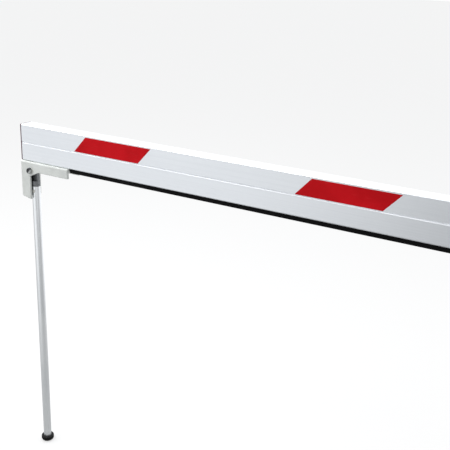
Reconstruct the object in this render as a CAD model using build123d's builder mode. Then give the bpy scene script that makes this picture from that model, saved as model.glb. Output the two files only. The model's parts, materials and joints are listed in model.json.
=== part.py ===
from build123d import *
import os
from math import ceil, cos, radians, sin

# Arm assembly of a parking barrier gate: a box-section boom on a keyed lift shaft, with a
# support leg that hangs from a bracket under the boom's tip and stays plumb.
#
# Frame: the origin is the centre of the housing's bolt pattern, on its mounting face.
# +Z is up, +Y points into the wall or post that carries the housing, and the boom runs
# along X with its tip at -X. "Depth" is the distance in front of the mounting face (-Y).

os.makedirs("parts", exist_ok=True)

# ---------------------------------------------------------------- boom, mm
boom_length = 2500.0
boom_height = 90.0
boom_width = 38.0
boom_wall = 2.2
boom_web = 3.0             # wall across the middle of the section
boom_corner = 3.5
butt_overhang = 70.0       # boom behind the lift axis
face_groove = 2.4          # side of the square that cuts the V groove along each face
slot_opening = 10.0        # T slot along the underside
slot_width = 18.0
slot_head = 5.0
slot_wall = 2.0
slot_play = 0.3
port_radius = 4.0          # screw ports in the extrusion
port_bore = 1.9
port_from_top = 6.5
port_from_bottom = 13.5
port_side_gap = 5.8        # port centre to the outer face

# ---------------------------------------------------------------- end caps
cap_thickness = 3.0
cap_screw_radius = 1.85
cap_screw_head = 3.6
cap_screw_length = 14.0
cap_screw_head_height = 1.9
socket_share = 0.6         # a screw's hex socket, as a share of its shank

# ---------------------------------------------------------------- reflective films
film_thickness = 0.4
film_length = 182.0
film_slant = 34.0
film_first = 168.0         # from the tip to the first lower corner
film_pitch = 565.0
film_low = 47.0            # lower and upper edge above the underside
film_high = 85.0

# ---------------------------------------------------------------- rubber edge strip
strip_height = 10.0
strip_inset = 2.0          # narrower than the boom on each side
strip_corner = 2.5
strip_gap = 2.0            # to the bracket and to the holder

# ---------------------------------------------------------------- leg bracket
bracket_length = 148.0
bracket_overlap = 5.0      # bracket stands this far past each face of the boom
bracket_wall = 5.0
bracket_depth = 24.0
bracket_edge = 4.0         # rounded outer edge of the top plate
bracket_arm_width = 28.0
bracket_rear_arm = 18.0     # the rear arm is narrower, so the leg swings past it
bracket_ear_edge = 2.0      # rear cheek below the pivot's washer
bracket_arm_drop = 96.0
bracket_arm_slant = 6.0
bracket_gusset = 13.0      # height of the slanted inner corner
bracket_gusset_run = 27.0
bracket_tip_inset = 1.0
bracket_screw_radius = 3.0
bracket_screw_head = 6.0
bracket_screw_places = (66.0, 124.0)
slot_nut_length = 20.0

# ---------------------------------------------------------------- leg
pivot_from_tip = 31.0
leg_side_gap = 0.95        # the leg's rivet to the bracket's front cheek
pivot_drop = 22.0
ground_drop = 820.0        # boom underside to the ground
leg_radius = 10.5
leg_wall = 1.5
head_drop = 43.0           # pivot to the top end of the tube
head_collar = 14.0
head_thickness = 8.0
head_groove_height = 2.0   # above the end of the tube
head_groove_width = 1.2
head_groove_depth = 0.8
head_eye_radius = 8.0
spigot_length = 36.0
rivet_radius = 2.5
rivet_drop = 12.0          # below the top end of the tube
rivet_head = 4.5
rivet_dome = 1.5
rivet_seat = 0.2           # shank that stands out of the tube under each dome
rivet_dome_taper = 25.0
foot_wall = 6.5
foot_height = 15.0
foot_sole = 6.0
foot_disc = 2.0
foot_sole_edge = 7.5
foot_rim_edge = 2.5
foot_groove_height = 10.0
foot_groove_width = 1.6
foot_groove_depth = 0.9
pivot_radius = 4.0
pivot_head_flats = 13.0
pivot_head_height = 5.3
pivot_nut_height = 6.8
pivot_thread_end = 2.0     # thread past the nut
head_chamfer_taper = 30.0  # turned corners of a hexagon head
pivot_washer_radius = 8.0
pivot_washer = 1.6
bush_wall = 1.2
pad_top = 38.0             # below the boom underside
pad_bottom = 91.0
pad_side_gap = 3.0
pad_play = 0.3
pad_screw_radius = 2.0
pad_screw_head = 4.0
pad_screw_pitch = 28.0

# ---------------------------------------------------------------- lift shaft and bearings
lift_max = 87.5            # degrees
shaft_radius = 12.5
shaft_collar_step = 2.5    # the seal runs on this collar
shaft_drive_length = 60.0  # behind the mounting face
shaft_drive_step = 0.5     # drive end, thinner than the bearing seats
shaft_shoulder = 6.0       # behind the mounting face
shaft_drive_edge = 1.5
shaft_nose_edge = 1.0
shaft_nose_gap = 1.0       # to the boom
key_width = 8.0
key_height = 7.0
key_depth = 4.0            # cut into the shaft
key_length = 14.0
drive_key_length = 20.0
drive_key_setback = 4.0    # from the shaft's drive end
cut_over = 1.0             # cuts run this far past the face that they open
bearing_outer_radius = 26.0
bearing_width = 15.0
bearing_recess = 4.0       # rear bearing behind the mounting face
bearing_spacing = 8.0      # between the two bearings
bearing_shoulder_radius = 22.5
ball_radius = 3.95
ball_count = 9
race_wall = 3.8
ball_play = 0.05
shield_thickness = 0.8
shield_inset = 0.4
circlip_thickness = 1.8
circlip_bite = 1.6
circlip_width = 4.5
circlip_gap = 8.0          # opening of both rings
seal_width = 7.0
seal_wall = 2.5            # outer ring and lip
seal_hollow = 4.0
running_gap = 0.08         # between a turning and a standing round face
sink_taper = 45.0          # half angle of a countersunk head
seat_taper = 42.0          # and of its seat, a little wider at the bottom
seat_gap = 0.04            # between round faces that are fastened together
flat_gap = 0.3             # between faces that only rest on each other

# ---------------------------------------------------------------- housing and stops
flange_size = 112.0
flange_thickness = 10.0
flange_corner = 12.0
housing_root_fillet = 3.0
housing_edge = 1.5
flange_hole_pitch = 84.0
flange_hole_radius = 5.5
housing_radius = 40.0
stop_half_width = 10.0     # half of the lug on the hub
stop_lug_radius = 56.0
stop_buffer = 6.0
stop_buffer_radius = 7.0
stop_stud_radius = 3.0
stop_stud_length = 11.0
stop_block = 14.0
stop_block_reach = 58.0
stop_block_inner = 32.0
stop_contact_radius = 46.0
stop_lug_depth = 12.0

# ---------------------------------------------------------------- boom holder
hub_gap = 2.0
hub_radius = 30.0
hub_length = 18.0
holder_plate = 8.0
holder_lip = 6.0
holder_lip_reach = 30.0
holder_corner = 5.0
holder_length = 200.0
clamp_plate_thickness = 6.0
clamp_plate_corner = 8.0
clamp_plate_margin = 5.0
clamp_plate_edge = 1.0
clamp_pitch_x = 140.0
clamp_pitch_z = 36.0
clamp_bolt_radius = 5.0
clamp_bolt_flats = 16.0
clamp_bolt_head = 6.4
clamp_washer_radius = 10.0
clamp_washer = 2.0
insert_play = 0.2
grub_radius = 4.0
grub_length = 11.0
grub_socket = 4.0          # across the flats

# ---------------------------------------------------------------- places worked out from these
front_bearing_depth = bearing_recess + bearing_width + bearing_spacing
seal_depth = front_bearing_depth + bearing_width
housing_length = seal_depth + seal_width
hub_depth = housing_length + hub_gap
plate_depth = hub_depth + hub_length
boom_back_depth = plate_depth + holder_plate
boom_front_depth = boom_back_depth + boom_width
boom_y = -(boom_back_depth + boom_front_depth) / 2
butt_x = butt_overhang
tip_x = butt_x - boom_length
cap_face_x = tip_x - cap_thickness
boom_bottom = -boom_height / 2
holder_tip_x = butt_x - holder_length
holder_mid_x = butt_x - holder_length / 2

chamber_width = boom_width - 2 * boom_wall
chamber_height = (boom_height - 2 * boom_wall - boom_web) / 2
chamber_centre = (boom_web + chamber_height) / 2
slot_housing_height = boom_wall + slot_head + slot_wall
port_y = boom_width / 2 - port_side_gap
port_places = [
    (y, z)
    for y in (port_y, -port_y)
    for z in (boom_height / 2 - port_from_top, boom_bottom + port_from_bottom)
]

bracket_x = cap_face_x + bracket_tip_inset
bracket_end_x = bracket_x + bracket_length
bracket_width = boom_width + 2 * bracket_overlap
bracket_inside = bracket_width - 2 * bracket_wall
leg_offset = bracket_inside / 2 - leg_side_gap - rivet_dome - seat_gap - leg_radius
leg_y = boom_y - leg_offset    # the leg stands in front of the boom's centre plane
strip_width = boom_width - 2 * strip_inset
foot_radius = leg_radius + foot_wall
pad_width = bracket_inside - 2 * pad_side_gap
shaft_collar_radius = shaft_radius + shaft_collar_step
pivot_x = cap_face_x + pivot_from_tip
pivot_z = boom_bottom - pivot_drop
tube_top_z = pivot_z - head_drop
ground_z = boom_bottom - ground_drop
bush_radius = pivot_radius + running_gap + bush_wall
stop_depth = hub_depth + hub_gap + stop_lug_depth / 2


def across(x):
    """Section plane across the boom at x: its own x is +Y and its own y is +Z."""
    return Plane(origin=(x, boom_y, 0), x_dir=(0, 1, 0), z_dir=(1, 0, 0))


def level(x, z):
    """Level plane above or below the boom's centre plane."""
    return Plane(origin=(x, boom_y, z))


def leg_level(z):
    """Level plane about the leg's axis."""
    return Plane(origin=(pivot_x, leg_y, z))


def lifted(depth, angle):
    """Front-facing plane that has turned with the arm through a lift angle."""
    turn = radians(angle)
    return Plane(origin=(0, -depth, 0), x_dir=(cos(turn), 0, -sin(turn)), z_dir=(0, -1, 0))


def stop_face(angle, side):
    """Plane on the flank of the hub's lug at a lift angle, facing away from the lug."""
    turn = radians(angle)
    flank = Vector(cos(turn), 0, -sin(turn)) * side
    down = Vector(-sin(turn), 0, -cos(turn))
    place = flank * stop_half_width + down * stop_contact_radius + Vector(0, -stop_depth, 0)
    return Plane(origin=place, x_dir=(0, 1, 0), z_dir=flank)


def save(part, label):
    """Label a finished piece and write it to its own file."""
    part.label = label
    export_step(part, "parts/" + label + ".step")


# The two stops: at rest behind the lug, and at the top of the lift ahead of it.
stops = ((0.0, 1), (lift_max, -1))

# ================================================================ housing and bearings
with BuildPart() as bearing_housing:
    with BuildSketch(Plane.XZ):
        RectangleRounded(flange_size, flange_size, flange_corner)
        with GridLocations(flange_hole_pitch, flange_hole_pitch, 2, 2):
            Circle(flange_hole_radius, mode=Mode.SUBTRACT)
    extrude(amount=flange_thickness)
    with BuildSketch(Plane.XZ.offset(flange_thickness)):
        Circle(housing_radius)
    extrude(amount=housing_length - flange_thickness)
    root_edges = bearing_housing.edges().filter_by(GeomType.CIRCLE)
    root_edge = [e for e in root_edges if abs(e.radius - housing_radius) < 0.01]
    fillet([e for e in root_edge if abs(e.center().Y + flange_thickness) < 0.01], housing_root_fillet)
    chamfer([e for e in root_edge if abs(e.center().Y + housing_length) < 0.01], housing_edge)
    for angle, side in stops:
        with BuildSketch(lifted(flange_thickness, angle)):
            with Locations((side * (stop_half_width + stop_buffer + stop_block / 2),
                            -(stop_block_reach + stop_block_inner) / 2)):
                Rectangle(stop_block, stop_block_reach - stop_block_inner)
        extrude(amount=stop_depth + stop_buffer_radius - flange_thickness)
    for angle, side in stops:
        with BuildSketch(stop_face(angle, side).offset(stop_buffer)):
            Circle(stop_stud_radius + seat_gap)
        extrude(amount=stop_stud_length, mode=Mode.SUBTRACT)
    with BuildSketch(Plane.XZ):
        Circle(bearing_shoulder_radius)
    extrude(amount=housing_length, mode=Mode.SUBTRACT)
    with BuildSketch(Plane.XZ):
        Circle(bearing_outer_radius + seat_gap)
    extrude(amount=bearing_recess + bearing_width, mode=Mode.SUBTRACT)
    with BuildSketch(Plane.XZ.offset(front_bearing_depth)):
        Circle(bearing_outer_radius + seat_gap)
    extrude(amount=housing_length - front_bearing_depth, mode=Mode.SUBTRACT)
    with BuildSketch(Plane.XZ.offset(bearing_recess - circlip_thickness)):
        Circle(bearing_outer_radius + circlip_bite)
    extrude(amount=circlip_thickness, mode=Mode.SUBTRACT)
save(bearing_housing.part, "bearing_housing")

bearing_depths = (bearing_recess + bearing_width / 2, front_bearing_depth + bearing_width / 2)
pitch_radius = (shaft_radius + bearing_outer_radius) / 2
inner_race_radius = shaft_radius + race_wall
outer_race_radius = bearing_outer_radius - race_wall

with BuildPart() as bearing_outer_races:
    with BuildSketch(Plane.XY):
        for depth in bearing_depths:
            with Locations(((outer_race_radius + bearing_outer_radius) / 2, -depth)):
                Rectangle(race_wall, bearing_width)
            with Locations((pitch_radius, -depth)):
                Circle(ball_radius + ball_play, mode=Mode.SUBTRACT)
    revolve(axis=Axis.Y)
save(bearing_outer_races.part, "bearing_outer_races")

with BuildPart() as bearing_inner_races:
    with BuildSketch(Plane.XY):
        for depth in bearing_depths:
            with Locations(((shaft_radius + seat_gap + inner_race_radius) / 2, -depth)):
                Rectangle(race_wall - seat_gap, bearing_width)
            with Locations((pitch_radius, -depth)):
                Circle(ball_radius + ball_play, mode=Mode.SUBTRACT)
    revolve(axis=Axis.Y)
save(bearing_inner_races.part, "bearing_inner_races")

with BuildPart() as bearing_balls:
    for depth in bearing_depths:
        with Locations(Plane.XZ.offset(depth)):
            with PolarLocations(pitch_radius, ball_count):
                Sphere(ball_radius)
save(bearing_balls.part, "bearing_balls")

with BuildPart() as bearing_shields:
    for depth in bearing_depths:
        for face in (-1, 1):
            shield_depth = depth + face * (bearing_width / 2 - shield_inset - shield_thickness / 2)
            with BuildSketch(Plane.XZ.offset(shield_depth)):
                Circle(outer_race_radius - seat_gap)
                Circle(inner_race_radius + flat_gap / 2, mode=Mode.SUBTRACT)
            extrude(amount=shield_thickness / 2, both=True)
save(bearing_shields.part, "bearing_shields")

with BuildPart() as shaft_seal:
    with BuildSketch(Plane.XZ.offset(seal_depth)):
        Circle(bearing_outer_radius)
        Circle(shaft_collar_radius + running_gap, mode=Mode.SUBTRACT)
    extrude(amount=seal_width)
    # open face between the outer ring and the lip
    with BuildSketch(Plane.XZ.offset(seal_depth + seal_width - seal_hollow)):
        Circle(bearing_outer_radius - seal_wall)
        Circle(shaft_collar_radius + seal_wall, mode=Mode.SUBTRACT)
    extrude(amount=seal_hollow, mode=Mode.SUBTRACT)
save(shaft_seal.part, "shaft_seal")

with BuildPart() as housing_circlip:
    with BuildSketch(Plane.XZ.offset(bearing_recess - circlip_thickness + seat_gap)):
        Circle(bearing_outer_radius + circlip_bite - seat_gap)
        Circle(bearing_outer_radius + circlip_bite - circlip_width, mode=Mode.SUBTRACT)
        with Locations((0, -bearing_outer_radius)):
            Rectangle(circlip_gap, 2 * circlip_width, mode=Mode.SUBTRACT)
    extrude(amount=circlip_thickness - 2 * seat_gap)
save(housing_circlip.part, "housing_circlip")

with BuildPart() as stop_buffers:
    for angle, side in stops:
        face = stop_face(angle, side)
        with BuildSketch(face.offset(flat_gap)):
            Circle(stop_buffer_radius)
        extrude(amount=stop_buffer - flat_gap)
        with BuildSketch(face.offset(stop_buffer)):
            Circle(stop_stud_radius)
        extrude(amount=stop_stud_length)
save(stop_buffers.part, "stop_buffers")

# ================================================================ shaft
with BuildPart() as drive_shaft:
    with BuildSketch(Plane.XZ.offset(-shaft_drive_length)):
        Circle(shaft_radius - shaft_drive_step)
    extrude(amount=shaft_drive_length)
    with BuildSketch(Plane.XZ.offset(-shaft_shoulder)):
        Circle(shaft_radius)
    extrude(amount=shaft_shoulder + boom_back_depth - shaft_nose_gap)
    chamfer(drive_shaft.edges().group_by(Axis.Y)[0], shaft_nose_edge)
    chamfer(drive_shaft.edges().group_by(Axis.Y)[-1], shaft_drive_edge)
    with BuildSketch(Plane.XZ.offset(seal_depth)):
        Circle(shaft_collar_radius)
    extrude(amount=hub_depth - seal_depth)
    with BuildSketch(Plane.XZ.offset(bearing_recess - circlip_thickness)):
        Circle(shaft_radius + cut_over)
        Circle(shaft_radius - circlip_bite / 2, mode=Mode.SUBTRACT)
    extrude(amount=circlip_thickness, mode=Mode.SUBTRACT)
    # keyways: one in the hub seat, one at the drive end
    drive_key_start = drive_key_setback - shaft_drive_length
    for start, length in ((hub_depth + hub_gap, key_length), (drive_key_start, drive_key_length)):
        with BuildSketch(Plane.XY.offset(shaft_radius - key_depth)):
            with Locations((0, -(start + length / 2))):
                Rectangle(key_width, length)
        extrude(amount=key_depth + cut_over, mode=Mode.SUBTRACT)
save(drive_shaft.part, "drive_shaft")

with BuildPart() as hub_key:
    with BuildSketch(Plane.XY.offset(shaft_radius - key_depth)):
        with Locations((0, -(hub_depth + hub_gap + key_length / 2))):
            Rectangle(key_width - 2 * seat_gap, key_length - 2 * seat_gap)
    extrude(amount=key_height)
save(hub_key.part, "hub_key")

with BuildPart() as bearing_spacer:
    with BuildSketch(Plane.XZ.offset(bearing_recess + bearing_width)):
        Circle(inner_race_radius)
        Circle(shaft_radius + seat_gap, mode=Mode.SUBTRACT)
    extrude(amount=bearing_spacing)
save(bearing_spacer.part, "bearing_spacer")

with BuildPart() as shaft_circlip:
    with BuildSketch(Plane.XZ.offset(bearing_recess - circlip_thickness + seat_gap)):
        Circle(shaft_radius + circlip_width - circlip_bite)
        Circle(shaft_radius - circlip_bite / 2 + seat_gap, mode=Mode.SUBTRACT)
        with Locations((0, -shaft_radius)):
            Rectangle(circlip_gap, 2 * circlip_width, mode=Mode.SUBTRACT)
    extrude(amount=circlip_thickness - 2 * seat_gap)
save(shaft_circlip.part, "shaft_circlip")

# ================================================================ boom holder
key_top = shaft_radius - key_depth + key_height
with BuildPart() as boom_holder:
    lip_section_depth = holder_plate + holder_lip_reach
    with BuildSketch(across(holder_tip_x)):
        with Locations((boom_width / 2 + holder_plate - lip_section_depth / 2, 0)):
            RectangleRounded(lip_section_depth, boom_height + 2 * holder_lip, holder_corner)
        with Locations((boom_width / 2 - boom_width, 0)):
            Rectangle(2 * boom_width, boom_height, mode=Mode.SUBTRACT)
    extrude(amount=holder_length)
    with BuildSketch(Plane.XZ.offset(hub_depth)):
        Circle(hub_radius)
    extrude(amount=hub_length)
    with BuildSketch(Plane.XZ.offset(stop_depth - stop_lug_depth / 2)):
        with Locations((0, -(stop_lug_radius + shaft_radius) / 2)):
            Rectangle(2 * stop_half_width, stop_lug_radius - shaft_radius)
    extrude(amount=stop_lug_depth)
    with BuildSketch(Plane.XZ.offset(hub_depth)):
        Circle(shaft_radius + seat_gap)
        with Locations((0, key_top / 2)):
            Rectangle(key_width, key_top + 2 * seat_gap)
    extrude(amount=hub_length + holder_plate, mode=Mode.SUBTRACT)
    with BuildSketch(Plane.XZ.offset(plate_depth)):
        with Locations((holder_mid_x, 0)):
            with GridLocations(clamp_pitch_x, clamp_pitch_z, 2, 2):
                Circle(clamp_bolt_radius + seat_gap)
    extrude(amount=holder_plate, mode=Mode.SUBTRACT)
    with BuildSketch(Plane(origin=(0, -(hub_depth + hub_gap + key_length / 2), key_top))):
        Circle(grub_radius + seat_gap)
    extrude(amount=hub_radius, mode=Mode.SUBTRACT)
save(boom_holder.part, "boom_holder")

with BuildPart() as hub_grub_screw:
    with BuildSketch(Plane(origin=(0, -(hub_depth + hub_gap + key_length / 2), key_top))):
        Circle(grub_radius)
    extrude(amount=grub_length)
    with BuildSketch(hub_grub_screw.faces().sort_by(Axis.Z)[-1]):
        RegularPolygon(grub_socket / 2, 6, major_radius=False)
    extrude(amount=-grub_socket, mode=Mode.SUBTRACT)
save(hub_grub_screw.part, "hub_grub_screw")

with BuildPart() as clamp_plate:
    with BuildSketch(Plane.XZ.offset(boom_front_depth)):
        with Locations((holder_mid_x, 0)):
            RectangleRounded(holder_length - 2 * clamp_plate_margin,
                             boom_height - 2 * clamp_plate_margin, clamp_plate_corner)
            with GridLocations(clamp_pitch_x, clamp_pitch_z, 2, 2):
                Circle(clamp_bolt_radius + seat_gap, mode=Mode.SUBTRACT)
    extrude(amount=clamp_plate_thickness)
    chamfer(clamp_plate.faces().sort_by(Axis.Y)[0].outer_wire().edges(), clamp_plate_edge)
save(clamp_plate.part, "clamp_plate")

with BuildPart() as clamp_washers:
    with BuildSketch(Plane.XZ.offset(boom_front_depth + clamp_plate_thickness)):
        with Locations((holder_mid_x, 0)):
            with GridLocations(clamp_pitch_x, clamp_pitch_z, 2, 2):
                Circle(clamp_washer_radius)
                Circle(clamp_bolt_radius + seat_gap, mode=Mode.SUBTRACT)
    extrude(amount=clamp_washer)
save(clamp_washers.part, "clamp_washers")

clamp_head_depth = boom_front_depth + clamp_plate_thickness + clamp_washer
with BuildPart() as clamp_bolts:
    with BuildSketch(Plane.XZ.offset(clamp_head_depth)):
        with Locations((holder_mid_x, 0)):
            with GridLocations(clamp_pitch_x, clamp_pitch_z, 2, 2):
                RegularPolygon(clamp_bolt_flats / 2, 6, major_radius=False)
    extrude(amount=clamp_bolt_head)
    # the corners of each head are turned off towards its outer face
    with BuildSketch(Plane.XZ.offset(clamp_head_depth + clamp_bolt_head)):
        with Locations((holder_mid_x, 0)):
            with GridLocations(clamp_pitch_x, clamp_pitch_z, 2, 2):
                Circle(clamp_bolt_flats / 2)
    extrude(amount=-clamp_bolt_head, taper=-head_chamfer_taper, mode=Mode.INTERSECT)
    with BuildSketch(Plane.XZ.offset(plate_depth)):
        with Locations((holder_mid_x, 0)):
            with GridLocations(clamp_pitch_x, clamp_pitch_z, 2, 2):
                Circle(clamp_bolt_radius)
    extrude(amount=clamp_head_depth - plate_depth)
save(clamp_bolts.part, "clamp_bolts")

# ================================================================ boom
with BuildPart() as boom_profile:
    with BuildSketch(across(tip_x)):
        RectangleRounded(boom_width, boom_height, boom_corner)
        with Locations((0, chamber_centre), (0, -chamber_centre)):
            Rectangle(chamber_width, chamber_height, mode=Mode.SUBTRACT)
        with Locations((0, boom_bottom + slot_housing_height / 2)):
            Rectangle(slot_width + 2 * slot_wall, slot_housing_height)
        with Locations(*port_places):
            Circle(port_radius)
        with Locations((0, boom_bottom + boom_wall / 2)):
            Rectangle(slot_opening, boom_wall, mode=Mode.SUBTRACT)
        with Locations((0, boom_bottom + boom_wall + slot_head / 2)):
            Rectangle(slot_width, slot_head, mode=Mode.SUBTRACT)
        with Locations(*port_places):
            Circle(port_bore, mode=Mode.SUBTRACT)
        with Locations((boom_width / 2, 0), (-boom_width / 2, 0)):
            Rectangle(face_groove, face_groove, rotation=45, mode=Mode.SUBTRACT)
        # the ports stay inside the outer faces
        RectangleRounded(boom_width, boom_height, boom_corner, mode=Mode.INTERSECT)
    extrude(amount=boom_length)
    with BuildSketch(Plane.XZ.offset(boom_back_depth - cut_over)):
        with Locations((holder_mid_x, 0)):
            with GridLocations(clamp_pitch_x, clamp_pitch_z, 2, 2):
                Circle(clamp_bolt_radius + seat_gap)
    extrude(amount=boom_width + 2 * cut_over, mode=Mode.SUBTRACT)
save(boom_profile.part, "boom_profile")

# Solid blocks in both chambers of the butt keep the clamp from crushing the boom.
insert_top = boom_height / 2 - port_from_top - port_radius - insert_play
insert_bottom = boom_bottom + port_from_bottom + port_radius + insert_play
insert_inner = boom_web / 2 + insert_play
with BuildPart() as butt_inserts:
    with BuildSketch(across(holder_tip_x)):
        for high, low in ((insert_top, insert_inner), (-insert_inner, insert_bottom)):
            with Locations((0, (high + low) / 2)):
                Rectangle(chamber_width - 2 * insert_play, high - low)
    extrude(amount=holder_length - cap_thickness)
    with BuildSketch(Plane.XZ.offset(boom_back_depth)):
        with Locations((holder_mid_x, 0)):
            with GridLocations(clamp_pitch_x, clamp_pitch_z, 2, 2):
                Circle(clamp_bolt_radius + seat_gap)
    extrude(amount=boom_width, mode=Mode.SUBTRACT)
save(butt_inserts.part, "butt_inserts")

# End caps: each is a plate with the boom's outline, held in the four screw ports.
with BuildPart() as tip_cap:
    with BuildSketch(across(cap_face_x)):
        RectangleRounded(boom_width, boom_height, boom_corner)
        with Locations(*port_places):
            Circle(cap_screw_radius + seat_gap, mode=Mode.SUBTRACT)
    extrude(amount=cap_thickness)
    with BuildSketch(across(cap_face_x)):
        with Locations(*port_places):
            Circle(cap_screw_head + seat_gap)
    extrude(amount=cap_screw_head_height, taper=seat_taper, mode=Mode.SUBTRACT)
save(tip_cap.part, "tip_cap")

with BuildPart() as tip_cap_screws:
    with BuildSketch(across(cap_face_x)):
        with Locations(*port_places):
            Circle(cap_screw_head)
    extrude(amount=cap_screw_head_height, taper=sink_taper)
    with BuildSketch(across(cap_face_x)):
        with Locations(*port_places):
            Circle(cap_screw_radius)
    extrude(amount=cap_screw_length)
    with BuildSketch(across(cap_face_x)):
        with Locations(*port_places):
            RegularPolygon(cap_screw_radius * socket_share, 6)
    extrude(amount=cap_screw_head_height * socket_share, mode=Mode.SUBTRACT)
save(tip_cap_screws.part, "tip_cap_screws")

with BuildPart() as butt_cap:
    with BuildSketch(across(butt_x)):
        RectangleRounded(boom_width, boom_height, boom_corner)
        with Locations(*port_places):
            Circle(cap_screw_radius + seat_gap, mode=Mode.SUBTRACT)
    extrude(amount=cap_thickness)
    with BuildSketch(across(butt_x + cap_thickness)):
        with Locations(*port_places):
            Circle(cap_screw_head + seat_gap)
    extrude(amount=-cap_screw_head_height, taper=seat_taper, mode=Mode.SUBTRACT)
save(butt_cap.part, "butt_cap")

with BuildPart() as butt_cap_screws:
    with BuildSketch(across(butt_x + cap_thickness)):
        with Locations(*port_places):
            Circle(cap_screw_head)
    extrude(amount=-cap_screw_head_height, taper=sink_taper)
    with BuildSketch(across(butt_x + cap_thickness)):
        with Locations(*port_places):
            Circle(cap_screw_radius)
    extrude(amount=-cap_screw_length)
    with BuildSketch(across(butt_x + cap_thickness)):
        with Locations(*port_places):
            RegularPolygon(cap_screw_radius * socket_share, 6)
    extrude(amount=-cap_screw_head_height * socket_share, mode=Mode.SUBTRACT)
save(butt_cap_screws.part, "butt_cap_screws")

# Rubber edge strip: a full-width body under the boom with a root in the T slot.
strip_start_x = bracket_end_x + strip_gap
strip_end_x = holder_tip_x - strip_gap
with BuildPart() as edge_strip:
    with BuildSketch(across(strip_start_x)):
        with Locations((0, boom_bottom - strip_height / 2)):
            body = Rectangle(strip_width, strip_height)
        fillet(body.vertices().group_by(Axis.Z)[0], strip_corner)
        with Locations((0, boom_bottom + (boom_wall + slot_play) / 2)):
            Rectangle(slot_opening - 2 * slot_play, boom_wall + slot_play)
        with Locations((0, boom_bottom + boom_wall + slot_head / 2)):
            Rectangle(slot_width - 2 * slot_play, slot_head - 2 * slot_play)
    extrude(amount=strip_end_x - strip_start_x)
save(edge_strip.part, "edge_strip")

# Reflective films: slanted blocks on the upper half of both faces.
film_run = holder_tip_x - cap_face_x - film_first - film_length - film_slant
film_count = ceil(film_run / film_pitch)
film_starts = [cap_face_x + film_first + i * film_pitch for i in range(film_count)]


def film_outline(start):
    """Corners of one film, drawn on a front-facing plane."""
    low = boom_bottom + film_low
    high = boom_bottom + film_high
    return [(start, low), (start + film_length, low),
            (start + film_length + film_slant, high), (start + film_slant, high)]


with BuildPart() as front_films:
    with BuildSketch(Plane.XZ.offset(boom_front_depth)):
        for start in film_starts:
            Polygon(*film_outline(start), align=None)
    extrude(amount=film_thickness)
save(front_films.part, "front_films")

with BuildPart() as rear_films:
    with BuildSketch(Plane.XZ.offset(boom_back_depth)):
        for start in film_starts:
            Polygon(*film_outline(start), align=None)
    extrude(amount=-film_thickness)
save(rear_films.part, "rear_films")

# ================================================================ leg bracket
plate_z = boom_bottom - bracket_wall
channel_z = boom_bottom - bracket_depth
arm_z = boom_bottom - bracket_arm_drop
arm_edge_x = bracket_x + bracket_arm_width
ear_z = pivot_z - pivot_washer_radius - bracket_ear_edge
with BuildPart() as leg_bracket:
    with BuildSketch(Plane.XZ.offset(-boom_y)):
        Polygon(
            (bracket_x, boom_bottom),
            (bracket_end_x, boom_bottom),
            (bracket_end_x, channel_z),
            (arm_edge_x + bracket_gusset_run, channel_z),
            (arm_edge_x, channel_z - bracket_gusset),
            (arm_edge_x, arm_z),
            (bracket_x, arm_z + bracket_arm_slant),
            align=None,
        )
    extrude(amount=bracket_width / 2, both=True)
    top_edges = leg_bracket.faces().sort_by(Axis.Z)[-1].edges().filter_by(Axis.X)
    end_edges = leg_bracket.faces().sort_by(Axis.X)[-1].edges().filter_by(Axis.Z)
    fillet(top_edges + end_edges, bracket_edge)
    fillet(leg_bracket.edges().filter_by(Axis.Z).group_by(Axis.X)[0], bracket_edge / 2)
    # inside: open downwards along the boom, and open towards the leg along the arm
    with BuildSketch(Plane.XZ.offset(-boom_y)):
        with Locations((bracket_x + bracket_wall, plate_z)):
            Rectangle(bracket_length, bracket_arm_drop, align=(Align.MIN, Align.MAX))
    extrude(amount=bracket_inside / 2, both=True, mode=Mode.SUBTRACT)
    # the rear arm stops short, under an ear for the pivot
    with BuildSketch(Plane.XZ.offset(-boom_y - bracket_inside / 2)):
        with Locations((bracket_x + bracket_rear_arm, ear_z)):
            Rectangle(bracket_length, bracket_arm_drop, align=(Align.MIN, Align.MAX))
    extrude(amount=-2 * bracket_wall, mode=Mode.SUBTRACT)
    with BuildSketch(Plane.XZ.offset(-boom_y)):
        with Locations((pivot_x, pivot_z)):
            Circle(pivot_radius + seat_gap)
    extrude(amount=bracket_width, both=True, mode=Mode.SUBTRACT)
    with BuildSketch(level(bracket_x, plate_z)):
        with Locations(*[(place, 0) for place in bracket_screw_places]):
            Circle(bracket_screw_radius + seat_gap)
    extrude(amount=bracket_wall, mode=Mode.SUBTRACT)
    with BuildSketch(level(bracket_x, plate_z)):
        with Locations(*[(place, 0) for place in bracket_screw_places]):
            Circle(bracket_screw_head + seat_gap)
    extrude(amount=bracket_screw_head - bracket_screw_radius, taper=seat_taper, mode=Mode.SUBTRACT)
    with BuildSketch(Plane(origin=(bracket_x, boom_y, boom_bottom - (pad_top + pad_bottom) / 2),
                           x_dir=(0, 1, 0), z_dir=(1, 0, 0))):
        with GridLocations(0, pad_screw_pitch, 1, 2):
            Circle(pad_screw_radius + seat_gap)
    extrude(amount=bracket_wall, mode=Mode.SUBTRACT)
save(leg_bracket.part, "leg_bracket")

with BuildPart() as bracket_screws:
    with BuildSketch(level(bracket_x, plate_z)):
        with Locations(*[(place, 0) for place in bracket_screw_places]):
            Circle(bracket_screw_head)
    extrude(amount=bracket_screw_head - bracket_screw_radius, taper=sink_taper)
    with BuildSketch(level(bracket_x, plate_z)):
        with Locations(*[(place, 0) for place in bracket_screw_places]):
            Circle(bracket_screw_radius)
    extrude(amount=bracket_wall + boom_wall + slot_head - slot_play)
    with BuildSketch(level(bracket_x, plate_z)):
        with Locations(*[(place, 0) for place in bracket_screw_places]):
            RegularPolygon(bracket_screw_radius * socket_share, 6)
    extrude(amount=bracket_screw_radius * socket_share, mode=Mode.SUBTRACT)
save(bracket_screws.part, "bracket_screws")

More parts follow.
